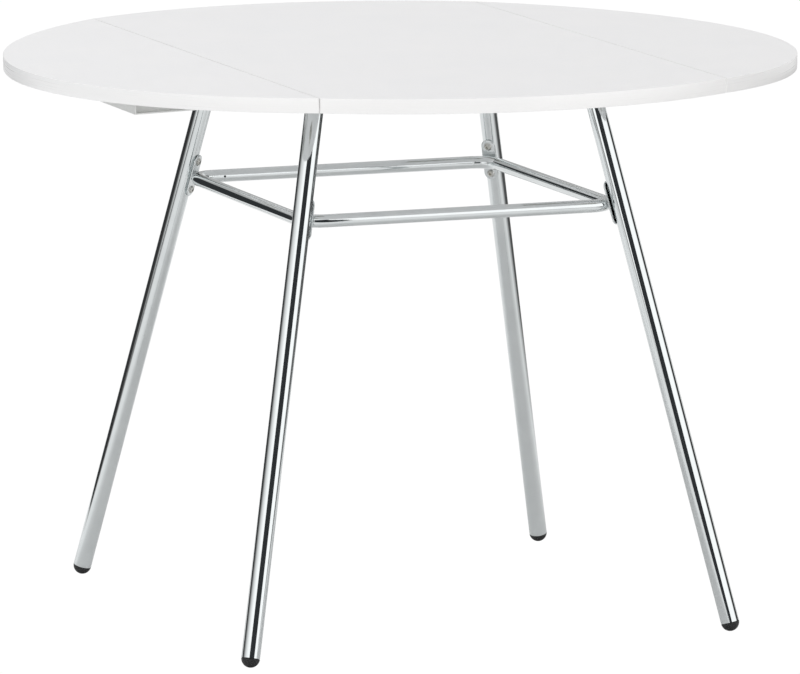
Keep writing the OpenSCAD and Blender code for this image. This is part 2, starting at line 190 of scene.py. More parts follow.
def add_piece(name, shape, finish, body, nodes=(), place=None):
    """Turns a shape into a piece with its finish, riding on its body and standing for its nodes."""
    bmesh.ops.recalc_face_normals(shape, faces=shape.faces)
    piece = new_object(name, shape)
    smooth(piece.data)
    piece.data.materials.append(material(finish))
    if place is not None:
        piece.matrix_world = place
    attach(piece, body)
    if nodes:
        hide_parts(*nodes)
    return piece


def soften(piece, width, steps=2):
    """Rounds the sharp edges of a piece."""
    bevel = piece.modifiers.new("Softened edges", "BEVEL")
    bevel.width = width
    bevel.segments = steps
    bevel.limit_method = "ANGLE"
    bevel.angle_limit = math.radians(40)
    bevel.use_clamp_overlap = True
    bevel.harden_normals = True
    return piece


def join_rings(shape, first, second):
    """Faces between two rings of points, either of which may be a single point."""
    count = max(len(first), len(second))
    for i in range(count):
        j = (i + 1) % count
        around = [first[i % len(first)], first[j % len(first)]]
        around += [second[j % len(second)], second[i % len(second)]]
        corners = []
        for corner in around:
            if corner not in corners:
                corners.append(corner)
        shape.faces.new(corners)


def turned(profile, segments=64, closed=False):
    """A shape turned about Z from (radius, height) points. A radius may depend on the angle."""
    shape = bmesh.new()
    rings = []
    for radius, height in profile:
        if radius == 0:
            rings.append([shape.verts.new((0, 0, height))])
            continue
        ring = []
        for i in range(segments):
            angle = math.tau * i / segments
            r = radius(angle) if callable(radius) else radius
            ring.append(shape.verts.new((r * math.cos(angle), r * math.sin(angle), height)))
        rings.append(ring)
    if closed:
        rings.append(rings[0])
    for first, second in zip(rings, rings[1:]):
        join_rings(shape, first, second)
    return shape


def swept(path, radius, up, segments=32, shape=None):
    """A closed loop of round section along a flat path. The radius may depend on the step."""
    shape = shape or bmesh.new()
    rings = []
    for k, point in enumerate(path):
        along = (path[(k + 1) % len(path)] - path[k - 1]).normalized()
        side = along.cross(up)
        r = radius(k / len(path)) if callable(radius) else radius
        rings.append(
            [
                shape.verts.new(point + r * (math.cos(a) * side + math.sin(a) * up))
                for a in (math.tau * i / segments for i in range(segments))
            ]
        )
    for k, ring in enumerate(rings):
        join_rings(shape, ring, rings[(k + 1) % len(rings)])
    return shape


def slab(outline, low, high):
    """A flat outline raised from low to high."""
    shape = bmesh.new()
    bottom = [shape.verts.new((x, y, low)) for x, y in outline]
    top = [shape.verts.new((x, y, high)) for x, y in outline]
    shape.faces.new(bottom)
    shape.faces.new(top)
    join_rings(shape, bottom, top)
    return shape


def arc(radius, start, stop, step=math.radians(1)):
    """Points of an arc about the origin, about one step apart."""
    count = max(2, round(abs(stop - start) / step))
    angles = (start + (stop - start) * i / count for i in range(count + 1))
    return [(radius * math.cos(a), radius * math.sin(a)) for a in angles]


def edging_strip(section, sweep_at, steps):
    """A section of (radius, height) points swept in angle. sweep_at gives a radius its first and last angle."""
    shape = bmesh.new()
    rings = []
    for k in range(steps + 1):
        ring = []
        for radius, height in section:
            start, stop = sweep_at(radius)
            angle = start + (stop - start) * k / steps
            ring.append(shape.verts.new((radius * math.cos(angle), radius * math.sin(angle), height)))
        rings.append(ring)
    for first, second in zip(rings, rings[1:]):
        join_rings(shape, first, second)
    shape.faces.new(rings[0])
    shape.faces.new(rings[-1])
    return shape


def rounded_section(core, radius, under, top, rounding):
    """Section of an edge band: square where it is glued, rounded outside."""
    section = [(core, under)]
    steps = 4
    for middle, turn in ((under + rounding, -math.pi / 2), (top - rounding, 0)):
        for i in range(steps + 1):
            angle = turn + math.pi / 2 * i / steps
            section.append(
                (radius - rounding + rounding * math.cos(angle), middle + rounding * math.sin(angle))
            )
    return section + [(core, top)]


def ripple(radius, share, waves):
    """A bead radius that swells and shrinks as the welder moves along."""
    return lambda t: radius * (
        1 + share * math.sin(math.tau * waves * t) + share / 2 * math.sin(math.tau * (waves * 2 + 1) * t)
    )


def hexagon(across_corners):
    """Radius of a hexagon socket at each angle."""

    def radius(angle):
        turn = (angle + math.pi / 6) % (math.pi / 3) - math.pi / 6
        return across_corners / 2 * math.cos(math.pi / 6) / math.cos(turn)

    return radius


def cross(length, width):
    """Radius of a cross recess at each angle."""

    def radius(angle):
        turn = abs((angle + math.pi / 4) % (math.pi / 2) - math.pi / 4)
        return min(length / 2 / math.cos(turn), width / 2 / max(math.sin(turn), 0.01))

    return radius


def screw_shape(head, height, shank, length, recess, depth):
    """A domed screw with its head below z = 0 and its shank above. The crown is flat round the recess."""
    ball = (head * head / 4 + height * height) / (2 * height)
    rim = 0.3 * head
    steps = 9
    dome = []
    for i in range(steps + 1):
        r = rim + (head / 2 - rim) * i / steps
        dome.append((r, min(ball - height - math.sqrt(ball * ball - r * r), 0)))
    crown = dome[0][1]
    profile = [(0, crown + depth), (recess, crown + depth), (recess, crown)]
    profile += dome + [(shank / 2, 0), (shank / 2, length), (0, length)]
    return turned(profile, 48)


def screw_height(level, low, high):
    """Height of a screw from the box it fills, when level is the turn its body hangs by."""
    tilt = abs(level.to_euler().y)
    wide = high.x - low.x
    return (high.z - low.z - wide * math.sin(tilt)) / math.cos(tilt)


def lumps(node):
    """The separate pieces of a node, each as its lowest and highest corner."""
    shape = bmesh.new()
    shape.from_mesh(FRAME["nodes"][node].data)
    bmesh.ops.remove_doubles(shape, verts=shape.verts, dist=0.01 * MM)
    left = set(shape.verts)
    found = []
    while left:
        stack = [left.pop()]
        points = []
        while stack:
            vert = stack.pop()
            points.append(vert.co.copy())
            for edge in vert.link_edges:
                other = edge.other_vert(vert)
                if other in left:
                    left.remove(other)
                    stack.append(other)
        low = Vector([min(p[k] for p in points) for k in range(3)])
        high = Vector([max(p[k] for p in points) for k in range(3)])
        found.append((low, high))
    shape.free()
    return sorted(found, key=lambda pair: tuple(round(c, 5) for c in pair[0]))


def merged(parts):
    """Several (shape, placing) pairs as one shape."""
    whole = bmesh.new()
    for part, place in parts:
        part.transform(place)
        loose = bpy.data.meshes.new("loose")
        part.to_mesh(loose)
        part.free()
        whole.from_mesh(loose)
        bpy.data.meshes.remove(loose)
    return whole


# ---------------------------------------------------------------- finishes


def add_node(tree, kind, links=None, **settings):
    """Adds a node with its settings, and gives its inputs the values or outputs in links."""
    made = tree.nodes.new(kind)
    for key, value in settings.items():
        setattr(made, key, value)
    for key, value in (links or {}).items():
        socket = made.inputs[key]
        if isinstance(value, bpy.types.NodeSocket):
            tree.links.new(value, socket)
        else:
            socket.default_value = value
    return made


def blank(name):
    """A new material without nodes, and its node tree."""
    made = bpy.data.materials.new(name)
    made.use_nodes = True
    made.node_tree.nodes.clear()
    return made, made.node_tree


def patterned(name):
    """A blank material, with the object's own coordinates to lay its patterns on."""
    made, tree = blank(name)
    return made, tree, add_node(tree, "ShaderNodeTexCoord").outputs["Object"]


def scale_for(size):
    """Scale of a noise whose lumps are about that many millimetres wide."""
    return 1 / (size * MM)


def shade_of(settings, key):
    return (*getattr(settings, key), 1)


def finished(tree, tone, gloss, relief, **constants):
    """Closes a material with one surface shader.

    tone is a pattern with its light and its deep colour, gloss a pattern with its lowest and
    highest roughness, and relief a pattern with its real height in millimetres.
    """
    blend = add_node(
        tree, "ShaderNodeMix", {0: tone[0].outputs[0], 6: tone[1], 7: tone[2]}, data_type="RGBA"
    )
    rough = add_node(
        tree, "ShaderNodeMapRange", {0: gloss[0].outputs[0], 1: 0.3, 2: 0.7, 3: gloss[1], 4: gloss[2]}
    )
    bump = add_node(
        tree, "ShaderNodeBump", {"Height": relief[0].outputs[0], "Distance": relief[1] * MM, "Strength": 1.0}
    )
    sockets = {"Base Color": blend.outputs[2], "Roughness": rough.outputs[0], "Normal": bump.outputs[0]}
    surface = add_node(tree, "ShaderNodeBsdfPrincipled", {**sockets, **constants})
    add_node(tree, "ShaderNodeOutputMaterial", {"Surface": surface.outputs[0]})


def melamine_faced_board(name, c):
    # Paper and melamine resin pressed on chipboard with a fine pearl plate: an even satin white
    # with a grain of about 1 mm that only breaks up highlights, and clouds of tone a hand wide.
    made, tree, place = patterned(name)
    clouds = add_node(tree, "ShaderNodeTexNoise", {"Vector": place, "Scale": scale_for(111.1), "Detail": 3})
    pearl = add_node(tree, "ShaderNodeTexNoise", {"Vector": place, "Scale": scale_for(1.111), "Detail": 2})
    rubs = add_node(tree, "ShaderNodeTexNoise", {"Vector": place, "Scale": scale_for(16.67), "Detail": 4})
    tone = (clouds, shade_of(c, "melamine"), shade_of(c, "melamine_deep"))
    finished(tree, tone, (rubs, 0.4, 0.5), (pearl, 0.02), IOR=1.5)
    return made


def extruded_edge_band(name, c):
    # White plastic strip, extruded, glued on and scraped flush: smoother than the faces,
    # with hairlines along its length that the scraper leaves.
    made, tree, place = patterned(name)
    hairline = (scale_for(166.7), scale_for(166.7), scale_for(0.714))
    along = add_node(tree, "ShaderNodeMapping", {"Vector": place, "Scale": hairline})
    lines = add_node(tree, "ShaderNodeTexNoise", {"Vector": along.outputs[0], "Scale": 1, "Detail": 3})
    clouds = add_node(tree, "ShaderNodeTexNoise", {"Vector": place, "Scale": scale_for(71.43), "Detail": 2})
    tone = (clouds, shade_of(c, "band"), shade_of(c, "melamine"))
    finished(tree, tone, (lines, 0.26, 0.36), (lines, 0.01), IOR=1.5)
    return made


def chromed_tube(name, c):
    # Ground and polished steel tube, nickel and chrome plated: a mirror with the faintest
    # lines down the legs and a slight haze that changes over a few centimetres.
    made, tree, place = patterned(name)
    grinding = (scale_for(2.857), scale_for(2.857), scale_for(250))
    along = add_node(tree, "ShaderNodeMapping", {"Vector": place, "Scale": grinding})
    lines = add_node(tree, "ShaderNodeTexNoise", {"Vector": along.outputs[0], "Scale": 1, "Detail": 2})
    haze = add_node(tree, "ShaderNodeTexNoise", {"Vector": place, "Scale": scale_for(33.33), "Detail": 4})
    tone = (haze, shade_of(c, "chrome"), shade_of(c, "chrome_deep"))
    finished(tree, tone, (haze, 0.025, 0.07), (lines, 0.0005), Metallic=1.0)
    return made


def chromed_pressing(name, c):
    # Punched and barrel-polished steel plate, chromed: less true than tube, with soft dents
    # of about 6 mm left by the press.
    made, tree, place = patterned(name)
    dents = add_node(tree, "ShaderNodeTexNoise", {"Vector": place, "Scale": scale_for(6.25), "Detail": 2})
    haze = add_node(tree, "ShaderNodeTexNoise", {"Vector": place, "Scale": scale_for(14.29), "Detail": 4})
    tone = (haze, shade_of(c, "chrome"), shade_of(c, "chrome_deep"))
    finished(tree, tone, (haze, 0.12, 0.24), (dents, 0.03), Metallic=1.0)
    return made


def zinc_plated_steel(name, c):
    # Pressed or turned steel, zinc plated and clear passivated: a soft grey metal with
    # patches of warm and cool tint a few millimetres wide.
    made, tree, place = patterned(name)
    patches = add_node(tree, "ShaderNodeTexNoise", {"Vector": place, "Scale": scale_for(5.556), "Detail": 5})
    grain = add_node(tree, "ShaderNodeTexNoise", {"Vector": place, "Scale": scale_for(0.667), "Detail": 3})
    tone = (patches, shade_of(c, "zinc"), shade_of(c, "zinc_warm"))
    finished(tree, tone, (patches, 0.24, 0.42), (grain, 0.02), Metallic=1.0)
    return made


def grey_enamel(name, c):
    # Stove enamel sprayed on folded steel: smooth light grey with the orange peel of a thin
    # coat, its dimples about 1.5 mm wide.
    made, tree, place = patterned(name)
    peel = add_node(tree, "ShaderNodeTexNoise", {"Vector": place, "Scale": scale_for(1.538), "Detail": 1})
    dust = add_node(tree, "ShaderNodeTexNoise", {"Vector": place, "Scale": scale_for(28.57), "Detail": 5})
    deeper = add_node(tree, "ShaderNodeHueSaturation", {"Value": 0.9, "Color": shade_of(c, "enamel")})
    tone = (dust, shade_of(c, "enamel"), deeper.outputs[0])
    finished(tree, tone, (dust, 0.32, 0.45), (peel, 0.04), IOR=1.52)
    return made


def moulded_black_plastic(name, c):
    # Injection-moulded polyethylene: near black, a soft sheen, fine spark texture, and greyer
    # scuffs where it slides on the floor.
    made, tree, place = patterned(name)
    spark = add_node(tree, "ShaderNodeTexNoise", {"Vector": place, "Scale": scale_for(0.714), "Detail": 3})
    scuffs = add_node(tree, "ShaderNodeTexNoise", {"Vector": place, "Scale": scale_for(3.846), "Detail": 4})
    worn = add_node(tree, "ShaderNodeHueSaturation", {"Value": 2.6, "Color": shade_of(c, "foot")})
    wear = add_node(tree, "ShaderNodeMapRange", {0: scuffs.outputs[0], 1: 0.5, 2: 0.75, 3: 0.0, 4: 0.8})
    tone = (wear, shade_of(c, "foot"), worn.outputs[0])
    finished(tree, tone, (scuffs, 0.38, 0.55), (spark, 0.03), IOR=1.5)
    return made


def moulded_nylon(name, c):
    # Natural nylon, injection moulded: milky off-white with a waxy shine.
    made, tree, place = patterned(name)
    milk = add_node(tree, "ShaderNodeTexNoise", {"Vector": place, "Scale": scale_for(3.333), "Detail": 2})
    deeper = add_node(tree, "ShaderNodeHueSaturation", {"Value": 0.9, "Color": shade_of(c, "nylon")})
    tone = (milk, shade_of(c, "nylon"), deeper.outputs[0])
    finished(tree, tone, (milk, 0.3, 0.4), (milk, 0.02), IOR=1.53)
    return made


def welded_steel(name, c):
    # Weld bead under the chrome: plated like the tube but rippled, so it never mirrors cleanly.
    made, tree, place = patterned(name)
    lap = add_node(tree, "ShaderNodeTexNoise", {"Vector": place, "Scale": scale_for(2), "Detail": 2})
    burnt = add_node(tree, "ShaderNodeHueSaturation", {"Value": 0.7, "Color": shade_of(c, "chrome_deep")})
    tone = (lap, shade_of(c, "chrome_deep"), burnt.outputs[0])
    finished(tree, tone, (lap, 0.15, 0.35), (lap, 0.1), Metallic=1.0)
    return made


FINISHES = {
    "Melamine-faced chipboard, pearl pressed": melamine_faced_board,
    "Plastic edge band, extruded and scraped": extruded_edge_band,
    "Chromed steel tube, polished": chromed_tube,
    "Chromed steel pressing": chromed_pressing,
    "Zinc-plated steel, passivated": zinc_plated_steel,
    "Grey enamel on folded steel, sprayed": grey_enamel,
    "Black polyethylene, moulded": moulded_black_plastic,
    "Natural nylon, moulded": moulded_nylon,
    "Chromed weld bead": welded_steel,
}
BOARD, BAND, TUBE, PRESSING, ZINC, ENAMEL, FOOT, NYLON, WELD = FINISHES


def material(name):
    """The finish of that name, made the first time it is asked for."""
    found = bpy.data.materials.get(name)
    return found or FINISHES[name](name, bpy.context.scene.table_colours)


def finish_node(node, finish, rounding):
    """Gives a carried-over node its finish and softened edges."""
    carried = FRAME["nodes"][node]
    carried.data.materials.clear()
    carried.data.materials.append(material(finish))
    return soften(carried, rounding)


# ---------------------------------------------------------------- places


def leg_place(end, side):
    """Leg frame at a corner: origin at the leg top, Z down the leg, X towards the table's middle."""
    sizes = bpy.context.scene.table_sizes
    radius = sizes.tube / 2
    low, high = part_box(f"leg_plate_{end}_{side}")
    top = Vector(((low.x + high.x) / 2, (low.y + high.y) / 2, low.z))
    foot_low, foot_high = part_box(f"foot_{end}_{side}")
    x = foot_low.x + radius if side == "left" else foot_high.x - radius
    y = foot_low.y + radius if end == "front" else foot_high.y - radius
    ball = Vector((x, y, math.sqrt(radius**2 - (sizes.foot_flat / 2) ** 2)))
    down = (ball - top).normalized()
    across = down.cross(UP).normalized()
    inward = across.cross(down).normalized()
    if inward.x * SIDES[side] > 0:
        across, inward = -across, -inward
    turn = Matrix((inward, down.cross(inward), down)).transposed()
    return Matrix.Translation(top) @ turn.to_4x4(), (ball - top).length


def ring_height_along(end, side, place):
    """Distance down the leg at which an oval plate is centred."""
    low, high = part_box(f"ring_plate_{end}_{side}")
    return (place.inverted() @ ((low + high) / 2)).z


def sag_turn(body):
    """Turn of a body at rest about its own joint, from level to where it hangs."""
    if body not in JOINT_OF:
        return Matrix.Identity(4)
    joint = JOINT_OF[body]
    about = Matrix.Translation(Vector(joint["pos_m"]))
    hang = math.radians(-joint["range_deg"][0])
    return about @ Matrix.Rotation(hang, 4, Vector(joint["axis"])) @ about.inverted()


def cut_level(shape, place, point, side):
    """Cuts a leg's shape level with a point of the leg frame, and gives the edges of the cut.

    What lies above is cut off when side is 1, and what lies below when it is -1.
    """
    cut = bmesh.ops.bisect_plane(
        shape,
        geom=shape.verts[:] + shape.edges[:] + shape.faces[:],
        plane_co=point,
        plane_no=(place.inverted().to_3x3() @ (UP * side)).normalized(),
        clear_outer=True,
    )
    return [part for part in cut["geom_cut"] if isinstance(part, bmesh.types.BMEdge)]


# ---------------------------------------------------------------- operators


class TABLE_OT_boards(bpy.types.Operator):
    """Centre panel and the two leaves, with their edge bands"""

    bl_idname = "table.boards"
    bl_label = "Boards and edge bands"

    def execute(self, context):
        sizes = context.scene.table_sizes
        low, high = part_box("centre_panel")
        under, top = low.z, high.z
        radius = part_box("centre_band_back")[1].y
        core = radius - sizes.band
        half = high.x + sizes.band
        seam = -JOINT_OF["leaf_left"]["pos_m"][0]
        leaf_start = 2 * seam - half
        inner = leaf_start + sizes.band
        proud = 0.25 * MM  # The seam bands stand this much into the seam
        seam_rounding = 0.12 * MM

        section = rounded_section(core, radius, under, top, sizes.band_round)

        def place(name, shape, finish, body, node, slot, turn=0):
            shape.transform(sag_turn(body) @ Matrix.Rotation(turn, 4, "Z"))
            return add_piece(name, shape, finish, body, [node])

        def straight_strip(name, first, last, body, node):
            """Edge band along a seam, from one distance across the seams to the other."""
            end_y = math.sqrt(radius**2 - max(abs(first), abs(last)) ** 2)
            outline = [(first, -end_y), (first, end_y), (last, end_y), (last, -end_y)]
            strip = place(name, slab(outline, under, top), BAND, body, node, "edge_band")
            soften(strip, seam_rounding)

        reach = math.acos(high.x / core)
        rounds = arc(core, reach, math.pi - reach)
        centre = rounds + [(x, -y) for x, y in reversed(rounds)]
        place("board_centre", slab(centre, under, top), BOARD, "base", "centre_panel", "melamine")

        def over_centre(r):
            return math.acos(high.x / r), math.pi - math.acos(high.x / r)

        def over_leaf(r):
            return -math.acos(inner / r), math.acos(inner / r)

        for end, e in ENDS.items():
            strip = edging_strip(section, over_centre, 90)
            turn = 0 if end == "back" else math.pi
            place(f"edging_centre_{end}", strip, BAND, "base", f"centre_band_{end}", "edge_band", turn)
        for side, s in SIDES.items():
            node = f"centre_band_{side}"
            straight_strip(f"edging_centre_{side}", s * (half + proud), s * high.x, "base", node)
            body = f"leaf_{side}"
            reach = math.acos(inner / core)
            turn = 0 if side == "right" else math.pi
            outline = arc(core, -reach, reach)
            place(f"board_{body}", slab(outline, under, top), BOARD, body, body, "melamine", turn)
            strip = edging_strip(section, over_leaf, 120)
            place(f"edging_{body}", strip, BAND, body, f"{body}_band", "edge_band", turn)
            node = f"{body}_seam_band"
            straight_strip(f"edging_{body}_seam", s * (leaf_start - proud), s * inner, body, node)
        return {"FINISHED"}


class TABLE_OT_legs(bpy.types.Operator):
    """Four splayed tubes with their domed feet, top plates and welds"""

    bl_idname = "table.legs"
    bl_label = "Legs and feet"

    def execute(self, context):
        sizes = context.scene.table_sizes
        radius = sizes.tube / 2
        bore = radius - sizes.tube_wall
        spare = sizes.tube  # Beyond the leg top, and cut off there
        for end, side in CORNERS:
            place, length = leg_place(end, side)
            profile = [(radius, -spare), (radius, length), (bore, length), (bore, -spare)]
            tube = turned(profile, TUBE_FLATS, closed=True)
            bmesh.ops.bridge_loops(tube, edges=cut_level(tube, place, (0, 0, 0), 1))
            nodes = [f"leg_{end}_{side}"]
            add_piece(f"tube_{end}_{side}", tube, TUBE, "base", nodes, place)
            self.add_foot(sizes, end, side, place, length)
            self.add_weld(end, side, place, radius)
            finish_node(f"leg_plate_{end}_{side}", ZINC, 0.4 * MM)
        return {"FINISHED"}

    def add_foot(self, sizes, end, side, place, length):
        """A dome as wide as the tube, with a fine step where it meets it and a worn flat below."""
        radius = sizes.tube / 2
        step = 0.6 * MM
        ease = 0.5 * MM  # Chamfer at the end of the plug
        play = 0.1 * MM  # Between plug and bore
        plug = radius - sizes.tube_wall - play
        start = length - sizes.foot_plug
        profile = [(0, start), (plug - ease, start), (plug, start + ease), (plug, length + step / 2)]
        profile += [(radius - step, length + step / 2), (radius - step / 3, length + step)]
        rounds = 24
        for i in range(1, rounds):
            angle = math.pi / 2 * i / rounds
            profile.append((radius * math.cos(angle), length + radius * math.sin(angle)))
        profile.append((0, length + radius))
        foot = turned(profile, TUBE_FLATS)
        leg_top = place.translation
        floor_point = place.inverted() @ Vector((leg_top.x, leg_top.y, 0))
        bmesh.ops.holes_fill(foot, edges=cut_level(foot, place, floor_point, -1))
        add_piece(f"dome_{end}_{side}", foot, FOOT, "base", [f"foot_{end}_{side}"], place)

    def add_weld(self, end, side, place, radius):
        """Bead round the tube where it meets its top plate."""
        steps = 180
        top = place.translation.z
        down = place.to_3x3() @ UP
        path = []
        for i in range(steps):
            angle = math.tau * i / steps
            rim = place @ Vector((radius * math.cos(angle), radius * math.sin(angle), 0))
            path.append(rim + down * ((top - rim.z) / down.z))
        bead = swept(path, ripple(radius=1.8 * MM, share=0.12, waves=30), UP, segments=12)
        add_piece(f"weld_top_{end}_{side}", bead, WELD, "base")


class TABLE_OT_ring(bpy.types.Operator):
    """Stretcher ring of tube with its oval plates and button-head screws"""

    bl_idname = "table.ring"
    bl_label = "Stretcher ring"

    def execute(self, context):
        sizes = context.scene.table_sizes
        low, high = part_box("stretcher_ring")
        radius = (high.z - low.z) / 2
        height = (high.z + low.z) / 2
        half_x, half_y = high.x - radius, high.y - radius
        bend = sizes.ring_bend
        path = []
        steps = 24
        for quarter, (sx, sy) in enumerate([(1, 1), (-1, 1), (-1, -1), (1, -1)]):
            for i in range(steps + 1):
                angle = math.pi / 2 * (quarter + i / steps)
                x = sx * (half_x - bend) + bend * math.cos(angle)
                y = sy * (half_y - bend) + bend * math.sin(angle)
                path.append(Vector((x, y, height)))
        ring = swept(path, radius, UP, segments=64)
        bmesh.ops.recalc_face_normals(ring, faces=ring.faces)
        outside = set(ring.faces)
        swept(path, radius - sizes.tube_wall, UP, segments=32, shape=ring)
        bore = [f for f in ring.faces if f not in outside]
        bmesh.ops.recalc_face_normals(ring, faces=bore)
        bmesh.ops.reverse_faces(ring, faces=bore)
        tube = new_object("ring_tube", ring)
        tube.data.materials.append(material(TUBE))
        self.drill(tube, sizes, half_y, height)
        smooth(tube.data)
        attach(tube, "base")
        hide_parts("stretcher_ring")
        heads = []
        for end, side in CORNERS:
            place, _ = leg_place(end, side)
            along = ring_height_along(end, side, place)
            self.add_plate(sizes, end, side, place, along)
            face = sizes.tube / 2 + sizes.plate_thick
            turn = Matrix.Rotation(-math.pi / 2, 4, "Y")
            for k in (-1, 1):
                # Each screw stops at an angle of its own
                stop = 0.6 + 0.9 * k + 0.4 * SIDES[side] + 0.25 * ENDS[end]
                spin = Matrix.Rotation(stop, 4, "Z")
                at = Matrix.Translation((face, 0, along + k * sizes.screw_pitch / 2))
                shape = screw_shape(
                    sizes.button_head,
                    sizes.button_height,
                    sizes.button_shank,
                    sizes.button_length,
                    recess=hexagon(across_corners=4.5 * MM),
                    depth=2 * MM,
                )
                heads.append((shape, place @ at @ turn @ spin))
        add_piece("button_screws", merged(heads), ZINC, "base", ["ring_screws"])
        return {"FINISHED"}

    def drill(self, tube, sizes, half_y, height):
        """Cuts the small vent hole into the front of the back rail."""
        reach = 6 * MM  # Either side of the near wall, short of the far one
        bit = sizes.vent / 2
        hole = turned([(0, -reach), (bit, -reach), (bit, reach), (0, reach)], 32)
        bmesh.ops.recalc_face_normals(hole, faces=hole.faces)
        wall = half_y - (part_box("stretcher_ring")[1].y - half_y)
        at = Matrix.Translation((-sizes.vent_from_middle, wall, height))
        hole.transform(at @ Matrix.Rotation(math.pi / 2, 4, "X"))
        drill = new_object("drill", hole)
        bit_mesh = drill.data
        cut = tube.modifiers.new("Vent hole", "BOOLEAN")
        cut.operation = "DIFFERENCE"
        cut.solver = "EXACT"
        cut.object = drill
        drilled = bpy.data.meshes.new_from_object(
            tube.evaluated_get(bpy.context.evaluated_depsgraph_get())
        )
        tube.modifiers.clear()
        tube.data = drilled
        bpy.data.objects.remove(drill)
        bpy.data.meshes.remove(bit_mesh)

    def add_plate(self, sizes, end, side, place, along):
        """Oval plate flat against the leg, and the weld that holds the ring to it."""
        half = sizes.plate_width / 2
        flat = sizes.plate_length / 2 - half
        step = math.radians(5)
        outline = [(x, y + flat) for x, y in arc(half, 0, math.pi, step)]
        outline += [(x, y - flat) for x, y in arc(half, math.pi, math.tau, step)]
        plate = slab(outline, 0, sizes.plate_thick)
        # Lays the outline's length down the leg and its thickness towards the table's middle
        lay = Matrix(((0, 0, 1, 0), (1, 0, 0, 0), (0, 1, 0, 0), (0, 0, 0, 1)))
        seat = place @ Matrix.Translation((sizes.tube / 2, 0, along)) @ lay
        nodes = [f"ring_plate_{end}_{side}"]
        made = add_piece(
            f"oval_plate_{end}_{side}", plate, PRESSING, "base", nodes, seat
        )
        soften(made, 1.1 * MM, steps=4)
        bead_across, bead_along = 7.8 * MM, 5.2 * MM
        steps = 120
        path = []
        for i in range(steps):
            angle = math.tau * i / steps
            x, y = bead_across * math.cos(angle), bead_along * math.sin(angle)
            path.append(seat @ Vector((x, y, sizes.plate_thick)))
        inward = (place.to_3x3() @ Vector((1, 0, 0))).normalized()
        bead = swept(path, ripple(radius=1.3 * MM, share=0.14, waves=22), inward, segments=12)
        add_piece(f"weld_ring_{end}_{side}", bead, WELD, "base")


class TABLE_OT_hinges(bpy.types.Operator):
    """Seam hinges with their pins; their screws are made with the wood screws"""

    bl_idname = "table.hinges"
    bl_label = "Hinges"

    def execute(self, context):
        for part in ("centre", "left", "right"):
            finish_node(f"hinge_plates_{part}", ZINC, 0.1 * MM)
        finish_node("hinge_pins", ZINC, 0.3 * MM)
        return {"FINISHED"}


class TABLE_OT_supports(bpy.types.Operator):
    """Folded-steel leaf supports with brackets, rivets and buffers"""

    bl_idname = "table.supports"
    bl_label = "Leaf supports"

    def execute(self, context):
        finish_node("support_brackets", ENAMEL, 0.4 * MM)
        finish_node("support_rivets", ZINC, 0.5 * MM)
        for side in SIDES:
            for part in ("front_rail", "back_rail", "end"):
                finish_node(f"support_{side}_{part}", ENAMEL, 0.4 * MM)
            finish_node(f"support_{side}_buffers", NYLON, 0.3 * MM)
        return {"FINISHED"}


class TABLE_OT_wood_screws(bpy.types.Operator):
    """Pan-head wood screws of the leg plates, hinges and brackets"""

    bl_idname = "table.wood_screws"
    bl_label = "Wood screws"

    def execute(self, context):
        sizes = context.scene.table_sizes
        rows = {
            "leg_plate_screws": "base",
            "hinge_screws_centre": "base",
            "hinge_screws_left": "leaf_left",
            "hinge_screws_right": "leaf_right",
            "support_bracket_screws": "base",
        }
        for row, (node, body) in enumerate(rows.items()):
            level = sag_turn(body)
            parts = []
            for count, (low, high) in enumerate(lumps(node)):
                middle = level.inverted() @ ((low + high) / 2)
                length = screw_height(level, low, high) - sizes.wood_height
                head_z = middle.z - (length + sizes.wood_height) / 2 + sizes.wood_height
                shape = screw_shape(
                    sizes.wood_head,
                    sizes.wood_height,
                    sizes.wood_shank,
                    length,
                    recess=cross(length=4.4 * MM, width=1.0 * MM),
                    depth=1.2 * MM,
                )
                # Each screw stops at an angle of its own
                spin = Matrix.Rotation(0.7 * count + row, 4, "Z")
                at = Matrix.Translation((middle.x, middle.y, head_z))
                parts.append((shape, level @ at @ spin))
            add_piece(f"wood_{node}", merged(parts), ZINC, body, [node])
        return {"FINISHED"}


